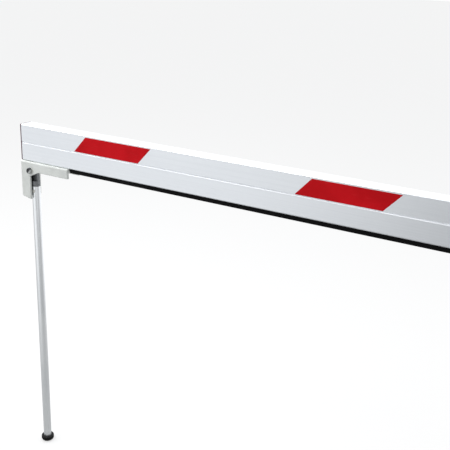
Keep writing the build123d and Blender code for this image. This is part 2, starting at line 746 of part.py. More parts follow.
with BuildPart() as slot_nuts:
    with BuildSketch(level(bracket_x, boom_bottom + boom_wall)):
        with Locations(*[(place, 0) for place in bracket_screw_places]):
            Rectangle(slot_nut_length, slot_width - 2 * slot_play)
            Circle(bracket_screw_radius + seat_gap, mode=Mode.SUBTRACT)
    extrude(amount=slot_head - slot_play)
save(slot_nuts.part, "slot_nuts")

# Rubber pad between the bracket's web and the standing leg.
pad_x = bracket_x + bracket_wall
pad_face_x = pivot_x - leg_radius - pad_play
with BuildPart() as stop_pad:
    with BuildSketch(Plane.XZ.offset(-boom_y)):
        with Locations(((pad_x + pad_face_x) / 2, boom_bottom - (pad_top + pad_bottom) / 2)):
            Rectangle(pad_face_x - pad_x, pad_bottom - pad_top)
    extrude(amount=pad_width / 2, both=True)
    with BuildSketch(Plane(origin=(pad_x, boom_y, boom_bottom - (pad_top + pad_bottom) / 2),
                           x_dir=(0, 1, 0), z_dir=(1, 0, 0))):
        with GridLocations(0, pad_screw_pitch, 1, 2):
            Circle(pad_screw_radius + seat_gap)
    extrude(amount=(pad_face_x - pad_x) / 2, mode=Mode.SUBTRACT)
save(stop_pad.part, "stop_pad")

with BuildPart() as pad_screws:
    with BuildSketch(Plane(origin=(bracket_x, boom_y, boom_bottom - (pad_top + pad_bottom) / 2),
                           x_dir=(0, 1, 0), z_dir=(1, 0, 0))):
        with GridLocations(0, pad_screw_pitch, 1, 2):
            Circle(pad_screw_radius)
    extrude(amount=bracket_wall + (pad_face_x - pad_x) / 2)
    with BuildSketch(Plane(origin=(bracket_x, boom_y, boom_bottom - (pad_top + pad_bottom) / 2),
                           x_dir=(0, 1, 0), z_dir=(1, 0, 0))):
        with GridLocations(0, pad_screw_pitch, 1, 2):
            Circle(pad_screw_head)
    extrude(amount=-pad_screw_radius)
    fillet(pad_screws.faces().sort_by(Axis.X)[:2].edges(), pad_screw_radius * socket_share)
save(pad_screws.part, "pad_screws")

# ================================================================ pivot
cheek_front = -boom_y + bracket_width / 2
cheek_back = -boom_y - bracket_width / 2
with BuildPart() as pivot_bolt:
    with BuildSketch(Plane.XZ.offset(cheek_front + pivot_washer)):
        with Locations((pivot_x, pivot_z)):
            RegularPolygon(pivot_head_flats / 2, 6, major_radius=False)
    extrude(amount=pivot_head_height)
    with BuildSketch(Plane.XZ.offset(cheek_front + pivot_washer + pivot_head_height)):
        with Locations((pivot_x, pivot_z)):
            Circle(pivot_head_flats / 2)
    extrude(amount=-pivot_head_height, taper=-head_chamfer_taper, mode=Mode.INTERSECT)
    with BuildSketch(Plane.XZ.offset(cheek_back - pivot_washer - pivot_nut_height - pivot_thread_end)):
        with Locations((pivot_x, pivot_z)):
            Circle(pivot_radius)
    extrude(amount=bracket_width + 2 * pivot_washer + pivot_nut_height + pivot_thread_end)
save(pivot_bolt.part, "pivot_bolt")

with BuildPart() as pivot_washers:
    for depth in (cheek_front, cheek_back - pivot_washer):
        with BuildSketch(Plane.XZ.offset(depth)):
            with Locations((pivot_x, pivot_z)):
                Circle(pivot_washer_radius)
                Circle(pivot_radius + seat_gap, mode=Mode.SUBTRACT)
        extrude(amount=pivot_washer)
save(pivot_washers.part, "pivot_washers")

with BuildPart() as pivot_nut:
    with BuildSketch(Plane.XZ.offset(cheek_back - pivot_washer)):
        with Locations((pivot_x, pivot_z)):
            RegularPolygon(pivot_head_flats / 2, 6, major_radius=False)
            Circle(pivot_radius + seat_gap, mode=Mode.SUBTRACT)
    extrude(amount=-pivot_nut_height)
save(pivot_nut.part, "pivot_nut")

# Spacer tubes, a short one in front and a long one behind, keep the leg's head in its place.
with BuildPart() as pivot_spacers:
    front_spacer = (bracket_inside - head_thickness) / 2 - leg_offset - flat_gap
    rear_spacer = front_spacer + 2 * leg_offset
    for depth, length in ((cheek_front - bracket_wall - front_spacer, front_spacer),
                          (cheek_back + bracket_wall, rear_spacer)):
        with BuildSketch(Plane.XZ.offset(depth)):
            with Locations((pivot_x, pivot_z)):
                Circle(bush_radius)
                Circle(pivot_radius + seat_gap, mode=Mode.SUBTRACT)
        extrude(amount=length)
save(pivot_spacers.part, "pivot_spacers")

# ================================================================ leg
with BuildPart() as pivot_bush:
    with BuildSketch(Plane.XZ.offset(-leg_y)):
        with Locations((pivot_x, pivot_z)):
            Circle(bush_radius)
            Circle(pivot_radius + running_gap, mode=Mode.SUBTRACT)
    extrude(amount=head_thickness / 2, both=True)
save(pivot_bush.part, "pivot_bush")

collar_top_z = tube_top_z + head_collar
with BuildPart() as leg_head:
    # tapered tongue, rounded about the pivot, kept inside the collar's diameter
    with BuildSketch(Plane.XZ.offset(-leg_y)):
        with Locations((pivot_x, pivot_z)):
            Circle(head_eye_radius)
        Polygon(
            (pivot_x - head_eye_radius, pivot_z),
            (pivot_x + head_eye_radius, pivot_z),
            (pivot_x + leg_radius, collar_top_z),
            (pivot_x - leg_radius, collar_top_z),
            align=None,
        )
    extrude(amount=head_thickness / 2, both=True)
    with BuildSketch(leg_level(collar_top_z)):
        Circle(leg_radius)
    extrude(amount=head_drop + head_eye_radius, mode=Mode.INTERSECT)
    with BuildSketch(leg_level(tube_top_z)):
        Circle(leg_radius)
    extrude(amount=head_collar)
    with BuildSketch(leg_level(tube_top_z)):
        Circle(leg_radius - leg_wall - seat_gap)
    extrude(amount=-spigot_length)
    with BuildSketch(Plane.XZ.offset(-leg_y)):
        with Locations((pivot_x, pivot_z)):
            Circle(bush_radius + seat_gap)
        with Locations((pivot_x, tube_top_z - rivet_drop)):
            Circle(rivet_radius + seat_gap)
    extrude(amount=leg_radius * 2, both=True, mode=Mode.SUBTRACT)
    # fine groove above the tube's end
    with BuildSketch(leg_level(tube_top_z + head_groove_height)):
        Circle(leg_radius + cut_over)
        Circle(leg_radius - head_groove_depth, mode=Mode.SUBTRACT)
    extrude(amount=head_groove_width, mode=Mode.SUBTRACT)
save(leg_head.part, "leg_head")

tube_end_z = ground_z + foot_sole + foot_disc
with BuildPart() as leg_tube:
    with BuildSketch(leg_level(tube_end_z)):
        Circle(leg_radius)
        Circle(leg_radius - leg_wall, mode=Mode.SUBTRACT)
    extrude(amount=tube_top_z - tube_end_z)
    with BuildSketch(Plane.XZ.offset(-leg_y)):
        with Locations((pivot_x, tube_top_z - rivet_drop)):
            Circle(rivet_radius + seat_gap)
    extrude(amount=leg_radius * 2, both=True, mode=Mode.SUBTRACT)
save(leg_tube.part, "leg_tube")

with BuildPart() as head_rivet:
    with BuildSketch(Plane.XZ.offset(-leg_y - leg_radius - rivet_seat)):
        with Locations((pivot_x, tube_top_z - rivet_drop)):
            Circle(rivet_radius)
    extrude(amount=2 * (leg_radius + rivet_seat))
    for sense in (1, -1):
        with BuildSketch(Plane.XZ.offset(-leg_y + sense * (leg_radius + seat_gap))):
            with Locations((pivot_x, tube_top_z - rivet_drop)):
                Circle(rivet_head)
        extrude(amount=sense * rivet_dome, taper=rivet_dome_taper)
save(head_rivet.part, "head_rivet")

with BuildPart() as foot_disc_plate:
    with BuildSketch(leg_level(ground_z + foot_sole)):
        Circle(leg_radius - seat_gap)
    extrude(amount=foot_disc)
save(foot_disc_plate.part, "foot_disc_plate")

with BuildPart() as leg_foot:
    with BuildSketch(leg_level(ground_z)):
        Circle(foot_radius)
    extrude(amount=foot_height)
    fillet(leg_foot.edges().group_by(Axis.Z)[0], foot_sole_edge)
    fillet(leg_foot.edges().group_by(Axis.Z)[-1], foot_rim_edge)
    with BuildSketch(leg_level(ground_z + foot_sole)):
        Circle(leg_radius + seat_gap)
    extrude(amount=foot_height, mode=Mode.SUBTRACT)
    with BuildSketch(leg_level(ground_z + foot_groove_height)):
        Circle(foot_radius + cut_over)
        Circle(foot_radius - foot_groove_depth, mode=Mode.SUBTRACT)
    extrude(amount=foot_groove_width, mode=Mode.SUBTRACT)
save(leg_foot.part, "leg_foot")
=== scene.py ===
"""Looks of a parking barrier's arm: its finishes, its weld, a plain pale studio and the camera."""
import json
import math

import bpy
from mathutils import Matrix, Vector


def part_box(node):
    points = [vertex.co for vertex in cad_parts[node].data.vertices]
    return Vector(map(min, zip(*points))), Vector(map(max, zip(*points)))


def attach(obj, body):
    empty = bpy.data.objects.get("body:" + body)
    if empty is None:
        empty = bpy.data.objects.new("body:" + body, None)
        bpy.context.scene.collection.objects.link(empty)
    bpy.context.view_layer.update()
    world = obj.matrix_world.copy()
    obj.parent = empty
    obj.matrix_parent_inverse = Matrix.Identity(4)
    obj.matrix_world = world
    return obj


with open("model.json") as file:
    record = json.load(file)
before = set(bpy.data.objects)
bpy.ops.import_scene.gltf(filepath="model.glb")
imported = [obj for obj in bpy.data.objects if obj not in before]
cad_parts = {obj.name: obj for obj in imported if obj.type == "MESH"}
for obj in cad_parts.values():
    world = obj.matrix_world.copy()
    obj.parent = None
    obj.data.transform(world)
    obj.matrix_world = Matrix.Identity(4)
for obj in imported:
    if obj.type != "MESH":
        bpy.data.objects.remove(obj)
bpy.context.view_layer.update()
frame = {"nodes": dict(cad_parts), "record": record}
nodes = frame["nodes"]
MM = 0.001

# ---------------------------------------------------------------- places, from the frame
boom_low, boom_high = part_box("boom_profile")
tip = Vector((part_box("tip_cap")[0].x, (boom_low.y + boom_high.y) / 2, boom_low.z))   # under the tip's middle
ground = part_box("leg_foot")[0].z
mounting_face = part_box("bearing_housing")[1].y
bolt_low, bolt_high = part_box("pivot_bolt")
bolt = (bolt_low + bolt_high) / 2

# ---------------------------------------------------------------- sizes that the frame has no box for
GROOVE = 2.2 * MM            # half the width of the groove along the boom
BORE = 26.2 * MM             # radius inside which the housing is machined
HUB = 31.2 * MM              # radius of the weld's middle line
PLATE = 68.2 * MM            # depth of the holder's plate in front of the mounting face
BEAD = 2.3 * MM              # radius of one weld ripple
RIPPLES = 116
FILM_CELL = 3.4 * MM


# ================================================================ node trees in plain Python
def join(tree, socket, item):
    """Feed a socket from a Value, or set it to a number, a vector or a colour."""
    if isinstance(item, Value):
        tree.links.new(item.socket, socket)
    elif hasattr(item, "__len__") and socket.type == "RGBA" and len(item) == 3:
        socket.default_value = (*item, 1.0)
    else:
        socket.default_value = item


class Value:
    """An output in a node tree. Sums and comparisons on it add Math nodes."""

    def __init__(self, tree, socket):
        self.tree = tree
        self.socket = socket

    def maths(self, operation, *items):
        made = self.tree.nodes.new("ShaderNodeMath")
        made.operation = operation
        for socket, item in zip(made.inputs, items):
            join(self.tree, socket, item)
        return Value(self.tree, made.outputs[0])

    def __add__(self, other):
        return self.maths("ADD", self, other)

    def __sub__(self, other):
        return self.maths("SUBTRACT", self, other)

    def __rsub__(self, other):
        return self.maths("SUBTRACT", other, self)

    def __mul__(self, other):
        return self.maths("MULTIPLY", self, other)

    def __truediv__(self, other):
        return self.maths("DIVIDE", self, other)

    def __mod__(self, other):
        return self.maths("FLOORED_MODULO", self, other)

    def __lt__(self, other):
        return self.maths("LESS_THAN", self, other)

    def __gt__(self, other):
        return self.maths("GREATER_THAN", self, other)

    def __abs__(self):
        return self.maths("ABSOLUTE", self)

    __radd__ = __add__
    __rmul__ = __mul__

    def larger(self, other):
        return self.maths("MAXIMUM", self, other)

    def smaller(self, other):
        return self.maths("MINIMUM", self, other)

    def root(self):
        return self.maths("SQRT", self)

    def rise(self, low, high, start=0.0, end=1.0):
        """Smooth step from start to end as this value goes from low to high."""
        made = self.tree.nodes.new("ShaderNodeMapRange")
        made.interpolation_type = "SMOOTHSTEP"
        for name, item in (("Value", self), ("From Min", low), ("From Max", high),
                           ("To Min", start), ("To Max", end)):
            join(self.tree, made.inputs[name], item)
        return Value(self.tree, made.outputs[0])


class Sketch:
    """A node tree that is written as expressions."""

    def __init__(self, tree):
        self.tree = tree

    def node(self, kind, settings=None, inputs=None, output=0):
        """Any node: its settings first, then what feeds its sockets."""
        made = self.tree.nodes.new(kind)
        for name, value in (settings or {}).items():
            setattr(made, name, value)
        for name, item in (inputs or {}).items():
            join(self.tree, made.inputs[name], item)
        return Value(self.tree, made.outputs[output])

    def vector(self, x, y, z):
        return self.node("ShaderNodeCombineXYZ", inputs={"X": x, "Y": y, "Z": z})

    def split(self, vector):
        """The x, y and z of a vector."""
        made = self.tree.nodes.new("ShaderNodeSeparateXYZ")
        join(self.tree, made.inputs[0], vector)
        return [Value(self.tree, socket) for socket in made.outputs]

    def mix(self, share, first, second):
        """A colour between two colours."""
        return self.node("ShaderNodeMix", {"data_type": "RGBA", "clamp_factor": True},
                         {0: share, 6: first, 7: second}, output=2)

    def noise(self, vector, scale, detail=3.0, roughness=0.55):
        return self.node("ShaderNodeTexNoise", None,
                         {"Vector": vector, "Scale": scale, "Detail": detail, "Roughness": roughness})


class Finish(Sketch):
    """A material with one Principled shader."""

    def __init__(self, name, fixed):
        self.material = bpy.data.materials.new(name)
        self.material.use_nodes = True
        super().__init__(self.material.node_tree)
        self.shader = self.tree.nodes["Principled BSDF"]
        for socket, value in fixed.items():
            join(self.tree, self.shader.inputs[socket], value)
        self.place = self.node("ShaderNodeTexCoord", output="Object")
        self.x, self.y, self.z = self.split(self.place)

    def put(self, **items):
        """Feed the shader's sockets: put(Roughness=..., Base_Color=...)."""
        for name, item in items.items():
            join(self.tree, self.shader.inputs[name.replace("_", " ")], item)
        return self.material

    def streaks(self, along, pitch, length, detail=2.0):
        """Fine lines along an axis: about one every pitch, each about that long."""
        steps = [1 / length if axis == along else 1 / pitch for axis in "XYZ"]
        stretched = self.vector(self.x * steps[0], self.y * steps[1], self.z * steps[2])
        return self.noise(stretched, 1.0, detail)

    def round_edge(self, radius):
        """Surface direction with every sharp edge eased to a radius."""
        return self.node("ShaderNodeBevel", {"samples": 4}, {"Radius": radius})

    def edges(self, eased):
        """1 along the part's edges, 0 on its faces."""
        plain = self.node("ShaderNodeNewGeometry", output="Normal")
        same = self.node("ShaderNodeVectorMath", {"operation": "DOT_PRODUCT"},
                         {0: eased, 1: plain}, output="Value")
        return (1.0 - same).rise(0.01, 0.12)

    def bump(self, height, depth, eased=None):
        """Relief: height goes from 0 to 1 over the depth, in metres."""
        inputs = {"Height": height, "Distance": depth, "Strength": 1.0}
        if eased is not None:
            inputs["Normal"] = eased
        return self.node("ShaderNodeBump", None, inputs)

    def radius_about_shaft(self):
        """Distance from the lift axis, which lies along Y."""
        return (self.x * self.x + self.z * self.z).root()


# ================================================================ metals
def brushed_aluminium(name, along, light, dark, sheen, groove=0.0):
    """Satin anodised aluminium with drawing lines along its length, and a painted highlight along the groove
    when one is given.
    """
    finish = Finish(name, {"Metallic": 1.0})
    fine = finish.streaks(along, 0.35 * MM, 60 * MM)
    die = finish.streaks(along, 2.6 * MM, 900 * MM, detail=1.0)
    cloud = finish.noise(finish.place, 7.0, 4.0)
    scuff = finish.streaks(along, 6 * MM, 45 * MM, detail=5.0).rise(0.62, 0.80)
    tone = die * 0.3 + cloud * 0.5 + fine * 0.2
    colour = finish.mix(tone.rise(0.30, 0.72), dark, light)
    worn = [0.86 * part for part in dark]
    colour = finish.mix(scuff * 0.30, colour, worn)
    rough = sheen + (fine - 0.5) * 0.10 + (cloud - 0.5) * 0.10 + scuff * 0.06
    relief = finish.bump(fine * 0.8 + die * 0.2, 0.009 * MM)
    if not groove:
        return finish.put(Base_Color=colour, Roughness=rough, Normal=relief)
    # painted highlight: the groove along the boom is painted near white and made less metallic, so it reads as
    # a light line
    bloom_and_painted_highlight = abs(finish.z).rise(1.2 * groove, 0.8 * groove)
    colour = finish.mix(bloom_and_painted_highlight * 0.8, colour, (0.90, 0.92, 0.95))
    rough = rough + bloom_and_painted_highlight * 0.25
    return finish.put(Base_Color=colour, Roughness=rough, Metallic=1.0 - bloom_and_painted_highlight * 0.6, Normal=relief)


def boom_aluminium():
    return brushed_aluminium("boom_aluminium", "X", (0.83, 0.86, 0.885), (0.77, 0.80, 0.83), 0.40, GROOVE)


def leg_aluminium():
    return brushed_aluminium("leg_aluminium", "Z", (0.96, 0.985, 0.99), (0.86, 0.89, 0.91), 0.34)


def zinc_steel():
    """Bright zinc plate: cloudy, with a faint blue and straw cast and rubbed edges."""
    finish = Finish("zinc_steel", {"Metallic": 1.0})
    eased = finish.round_edge(0.35 * MM)
    cloud = finish.noise(finish.place, 160.0, 5.0)
    cast = finish.noise(finish.place, 60.0, 2.0)
    colour = finish.mix(cast.rise(0.35, 0.65), (0.62, 0.66, 0.72), (0.74, 0.72, 0.66))
    colour = finish.mix(cloud.rise(0.45, 0.75) * 0.5, colour, (0.50, 0.51, 0.53))
    colour = finish.mix(finish.edges(eased) * 0.6, colour, (0.82, 0.82, 0.82))
    rough = 0.26 + cloud * 0.20
    return finish.put(Base_Color=colour, Roughness=rough, Normal=finish.bump(cloud, 0.01 * MM, eased))


def ground_steel():
    """Turned and ground shaft steel with fine rings and a trace of oil."""
    finish = Finish("ground_steel", {"Metallic": 1.0})
    eased = finish.round_edge(0.3 * MM)
    rings = finish.noise(finish.vector(0.0, finish.y / (0.22 * MM), finish.radius_about_shaft() * 900.0), 1.0)
    oil = finish.noise(finish.place, 45.0, 3.0).rise(0.45, 0.65)
    colour = finish.mix(rings, (0.50, 0.50, 0.51), (0.66, 0.66, 0.67))
    colour = finish.mix(oil * 0.35, colour, (0.40, 0.36, 0.30))
    rough = 0.22 + rings * 0.14 + oil * 0.06
    return finish.put(Base_Color=colour, Roughness=rough, Normal=finish.bump(rings, 0.006 * MM, eased))


def bearing_steel():
    """Polished race and ball steel with the faint rings of its grinding."""
    finish = Finish("bearing_steel", {"Metallic": 1.0})
    rings = finish.noise(finish.vector(0.0, finish.y * 2500.0, finish.radius_about_shaft() * 2500.0), 1.0)
    haze = finish.noise(finish.place, 120.0, 3.0)
    colour = finish.mix(haze, (0.62, 0.62, 0.64), (0.76, 0.76, 0.77))
    return finish.put(Base_Color=colour, Roughness=0.10 + rings * 0.10 + haze * 0.05,
                      Normal=finish.bump(rings, 0.003 * MM))


def key_steel():
    """Bright drawn key steel with lengthwise lines."""
    finish = Finish("key_steel", {"Metallic": 1.0})
    eased = finish.round_edge(0.3 * MM)
    lines = finish.streaks("Y", 0.2 * MM, 12 * MM)
    colour = finish.mix(lines, (0.42, 0.42, 0.43), (0.58, 0.58, 0.59))
    return finish.put(Base_Color=colour, Roughness=0.30 + lines * 0.15,
                      Normal=finish.bump(lines, 0.006 * MM, eased))


def spring_steel():
    """Black phosphated spring steel, rubbed grey on its edges."""
    finish = Finish("spring_steel", {"Metallic": 0.7})
    eased = finish.round_edge(0.25 * MM)
    grain = finish.noise(finish.place, 900.0, 4.0)
    colour = finish.mix(grain, (0.035, 0.037, 0.042), (0.075, 0.077, 0.082))
    colour = finish.mix(finish.edges(eased) * 0.7, colour, (0.30, 0.30, 0.31))
    return finish.put(Base_Color=colour, Roughness=0.42 + grain * 0.18,
                      Normal=finish.bump(grain, 0.012 * MM, eased))


def bolt_steel():
    """Blackened pivot bolt, with a painted highlight that makes the lower side of its head pale, as if lit
    from below.
    """
    finish = Finish("bolt_steel", {"Metallic": 0.55})
    eased = finish.round_edge(0.5 * MM)
    grain = finish.noise(finish.place, 900.0, 4.0)
    patch = finish.noise(finish.place, 320.0, 3.0)
    # painted light: the lower right side of the head is painted pale, as if lit from below, with a patchy
    # border
    toward_painted_lit_side = (finish.x - bolt.x) * 0.75 - (finish.z - bolt.z) * 0.66
    wear_and_painted_light = (toward_painted_lit_side + (patch - 0.5) * 3.0 * MM).rise(-0.3 * MM, 2.2 * MM)
    colour = finish.mix(grain, (0.022, 0.023, 0.026), (0.05, 0.051, 0.055))
    colour = finish.mix(wear_and_painted_light * 0.85, colour, (0.46, 0.475, 0.47))
    colour = finish.mix(finish.edges(eased) * 0.4, colour, (0.30, 0.30, 0.31))
    return finish.put(Base_Color=colour, Roughness=0.40 + grain * 0.18,
                      Normal=finish.bump(grain, 0.012 * MM, eased))


def bush_bronze():
    """Sintered bronze with open pores that hold oil."""
    finish = Finish("bush_bronze", {"Metallic": 1.0})
    pores = finish.node("ShaderNodeTexVoronoi", None, {"Vector": finish.place, "Scale": 2600.0},
                        output="Distance").rise(0.05, 0.25)
    cloud = finish.noise(finish.place, 200.0)
    colour = finish.mix(cloud, (0.52, 0.34, 0.16), (0.66, 0.46, 0.24))
    colour = finish.mix((1.0 - pores) * 0.8, colour, (0.10, 0.06, 0.03))
    return finish.put(Base_Color=colour, Roughness=0.38 + (1.0 - pores) * 0.2,
                      Normal=finish.bump(pores, 0.02 * MM))


def head_casting():
    """Tumbled zinc die casting: dark skin, grainy, brighter where it is rubbed."""
    finish = Finish("head_casting", {"Metallic": 0.85})
    eased = finish.round_edge(0.9 * MM)
    grain = finish.noise(finish.place, 1100.0, 4.0)
    flow = finish.noise(finish.place, 90.0, 3.0)
    # here only rubbed wear on the edges and raised flow, no painted light
    wear_and_painted_light = (finish.edges(eased) + flow.rise(0.55, 0.8) * 0.4).smaller(1.0)
    colour = finish.mix(flow, (0.17, 0.18, 0.19), (0.27, 0.28, 0.29))
    colour = finish.mix(wear_and_painted_light * 0.55, colour, (0.50, 0.51, 0.52))
    rough = 0.50 - wear_and_painted_light * 0.14 + grain * 0.10
    return finish.put(Base_Color=colour, Roughness=rough, Normal=finish.bump(grain, 0.03 * MM, eased))


def cast_housing():
    """Painted iron casting with machined end faces, turned in rings, and bare bores."""
    finish = Finish("cast_housing", {})
    eased = finish.round_edge(0.8 * MM)
    skin = finish.noise(finish.place, 420.0, 5.0)
    blotch = finish.noise(finish.place, 38.0, 4.0)
    spread = finish.radius_about_shaft()
    rings = finish.noise(finish.vector(0.0, 0.0, spread / (0.35 * MM)), 1.0)
    back = finish.y > mounting_face - 0.05 * MM
    bore = spread < BORE
    machined = back.larger(bore)
    paint = finish.mix(blotch.rise(0.3, 0.7), (0.105, 0.112, 0.120), (0.150, 0.158, 0.168))
    chipped = finish.edges(eased) * skin.rise(0.48, 0.60)
    paint = finish.mix(chipped * 0.7, paint, (0.30, 0.29, 0.27))
    steel = finish.mix(rings, (0.40, 0.40, 0.40), (0.58, 0.58, 0.58))
    colour = finish.mix(machined, paint, steel)
    rough = 0.46 + skin * 0.12 - machined * 0.18 + rings * machined * 0.10
    height = skin * (1.0 - machined) + rings * machined * 0.08
    return finish.put(Base_Color=colour, Roughness=rough, Metallic=machined.larger(chipped * 0.6),
                      Normal=finish.bump(height, 0.08 * MM, eased))


# ================================================================ paint, plastic and rubber
def powder_coat(name, light, dark, peel_depth, soft_edge):
    """Powder coat with fine orange peel, a soft grime and a few rubbed edges."""
    finish = Finish(name, {"Coat Roughness": 0.22, "Coat Weight": 0.15})
    eased = finish.round_edge(soft_edge)
    peel = finish.noise(finish.place, 620.0, 2.0, 0.4)
    grime = finish.noise(finish.place, 26.0, 6.0, 0.62)
    speck = finish.noise(finish.place, 1500.0, 2.0)
    colour = finish.mix(grime.rise(0.34, 0.70), light, dark)
    colour = finish.mix(speck.rise(0.68, 0.80) * 0.35, colour, (0.45, 0.43, 0.39))
    # here only rubbed wear on the edges, no painted light
    wear_and_painted_light = finish.edges(eased) * grime.rise(0.50, 0.62)
    colour = finish.mix(wear_and_painted_light * 0.45, colour, (0.62, 0.62, 0.60))
    rough = 0.34 + grime * 0.14 + peel * 0.05
    return finish.put(Base_Color=colour, Roughness=rough, Normal=finish.bump(peel, peel_depth, eased))


def bracket_paint():
    return powder_coat("bracket_paint", (0.68, 0.705, 0.68), (0.60, 0.62, 0.60), 0.03 * MM, 2.2 * MM)


def holder_paint():
    return powder_coat("holder_paint", (0.82, 0.84, 0.81), (0.72, 0.74, 0.71), 0.05 * MM, 1.2 * MM)


def honeycomb(finish, across, up, cell):
    """Distance from the middle of the nearest cell: 0 there and 0.5 on the walls."""
    tall = math.sqrt(3)
    u = across / cell
    v = up / cell
    first = (u % 1.0 - 0.5, v % tall - tall / 2)
    second = ((u + 0.5) % 1.0 - 0.5, (v + tall / 2) % tall - tall / 2)
    reach = [a * a + b * b for a, b in (first, second)]
    nearer = reach[0] < reach[1]
    gap_u = abs(first[0] * nearer + second[0] * (1.0 - nearer))
    gap_v = abs(first[1] * nearer + second[1] * (1.0 - nearer))
    return gap_u.larger(gap_u * 0.5 + gap_v * (tall / 2))


def red_film():
    """Retroreflective sheeting: clear skin over red cells with paler sealed walls."""
    finish = Finish("red_film", {"Specular IOR Level": 0.04})
    reach = honeycomb(finish, finish.x, finish.z, FILM_CELL)
    wall = reach.rise(0.44, 0.49)
    lens = finish.node("ShaderNodeTexVoronoi", None, {"Vector": finish.place, "Scale": 3800.0},
                       output="Color")
    glint = finish.split(lens)[0]
    cloud = finish.noise(finish.place, 11.0, 4.0)
    colour = finish.mix(cloud.rise(0.35, 0.65), (0.44, 0.003, 0.006), (0.56, 0.005, 0.010))
    colour = finish.mix(glint * 0.16, colour, (0.72, 0.02, 0.03))
    colour = finish.mix(wall * 0.10, colour, (0.66, 0.08, 0.08))
    dust = finish.streaks("X", 5 * MM, 30 * MM, detail=5.0).rise(0.60, 0.82)
    colour = finish.mix(dust * 0.04, colour, (0.55, 0.45, 0.42))
    rough = 0.30 + glint * 0.12 + dust * 0.12
    return finish.put(Base_Color=colour, Roughness=rough, Normal=finish.bump(wall, 0.02 * MM))


def extruded_rubber(name, along, ink, dusty, dust_share):
    """Black rubber with faint lines, grey bloom and dust."""
    finish = Finish(name, {"Specular IOR Level": 0.04})
    eased = finish.round_edge(0.5 * MM)
    lines = finish.streaks(along, 0.6 * MM, 80 * MM)
    grain = finish.noise(finish.place, 1300.0, 3.0)
    # here only the rubber's own grey bloom, a real film, no painted light
    bloom_and_painted_highlight = finish.noise(finish.place, 18.0, 5.0, 0.6).rise(0.48, 0.72)
    colour = finish.mix(lines, ink, [1.7 * part for part in ink])
    colour = finish.mix(bloom_and_painted_highlight * dust_share, colour, dusty)
    rough = 0.46 + grain * 0.16 + bloom_and_painted_highlight * 0.12
    return finish.put(Base_Color=colour, Roughness=rough,
                      Normal=finish.bump(lines * 0.5 + grain * 0.5, 0.02 * MM, eased))


def edge_rubber():
    return extruded_rubber("edge_rubber", "X", (0.003, 0.003, 0.0033), (0.022, 0.021, 0.02), 0.35)


def pad_rubber():
    return extruded_rubber("pad_rubber", "Z", (0.003, 0.003, 0.003), (0.022, 0.021, 0.02), 0.3)


def foot_rubber():
    """Moulded rubber foot, dusty and scuffed towards the ground."""
    finish = Finish("foot_rubber", {"Specular IOR Level": 0.2})
    eased = finish.round_edge(0.6 * MM)
    height = finish.z - ground
    grain = finish.noise(finish.place, 900.0, 4.0)
    patch = finish.noise(finish.place, 150.0, 5.0)
    low = height.rise(12 * MM, 0.0)
    dust = (low * patch.rise(0.35, 0.6)).smaller(1.0)
    colour = finish.mix(grain, (0.005, 0.005, 0.005), (0.010, 0.010, 0.010))
    colour = finish.mix(dust * 0.35, colour, (0.09, 0.08, 0.07))
    return finish.put(Base_Color=colour, Roughness=0.5 + grain * 0.2 + dust * 0.15,
                      Normal=finish.bump(grain * 0.5 + patch * 0.5, 0.05 * MM, eased))


def moulded_plastic(name, dark, light, grain_depth):
    """Moulded plastic with spark-eroded grain and edges that are slightly polished."""
    finish = Finish(name, {"Specular IOR Level": 0.45})
    eased = finish.round_edge(0.5 * MM)
    grain = finish.noise(finish.place, 1400.0, 3.0, 0.7)
    cloud = finish.noise(finish.place, 40.0, 3.0)
    edge = finish.edges(eased)
    colour = finish.mix(cloud * 0.6 + grain * 0.4, dark, light)
    colour = finish.mix(edge * 0.4, colour, [min(1.0, 1.5 * part) for part in light])
    return finish.put(Base_Color=colour, Roughness=0.48 + grain * 0.12 - edge * 0.12,
                      Normal=finish.bump(grain, grain_depth, eased))


def tip_cap_plastic():
    return moulded_plastic("tip_cap_plastic", (0.055, 0.010, 0.026), (0.085, 0.016, 0.040), 0.02 * MM)


def butt_cap_plastic():
    return moulded_plastic("butt_cap_plastic", (0.012, 0.012, 0.013), (0.024, 0.024, 0.025), 0.02 * MM)


def insert_plastic():
    return moulded_plastic("insert_plastic", (0.03, 0.03, 0.032), (0.05, 0.05, 0.052), 0.03 * MM)


def shield_rubber():
    """Thin moulded sealing rubber with turned mould rings."""
    finish = Finish("shield_rubber", {"Specular IOR Level": 0.4})
    rings = finish.noise(finish.vector(0.0, 0.0, finish.radius_about_shaft() / (0.5 * MM)), 1.0)
    grain = finish.noise(finish.place, 700.0, 3.0)
    colour = finish.mix(rings, (0.014, 0.014, 0.015), (0.03, 0.03, 0.032))
    return finish.put(Base_Color=colour, Roughness=0.42 + grain * 0.16,
                      Normal=finish.bump(rings * 0.6 + grain * 0.4, 0.02 * MM))


FINISHES = {made.__name__: made for made in (
    boom_aluminium, leg_aluminium, zinc_steel, ground_steel, bearing_steel, key_steel, spring_steel,
    bush_bronze, head_casting, cast_housing, bracket_paint, holder_paint, red_film, edge_rubber,
    pad_rubber, foot_rubber, tip_cap_plastic, butt_cap_plastic, insert_plastic, shield_rubber)}


def coat(node, material):
    """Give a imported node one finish."""
    mesh = nodes[node].data
    mesh.materials.clear()
    mesh.materials.append(material)


def dress_nodes():
    """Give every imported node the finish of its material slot, and the pivot bolt its own."""
    made = {}
    for row in frame["record"]["subparts"]:
        slot = row["material_slot"]
        if slot not in made:
            made[slot] = FINISHES[slot]()
        coat(row["node"], made[slot])
    coat("pivot_bolt", bolt_steel())
    return made


finishes = dress_nodes()


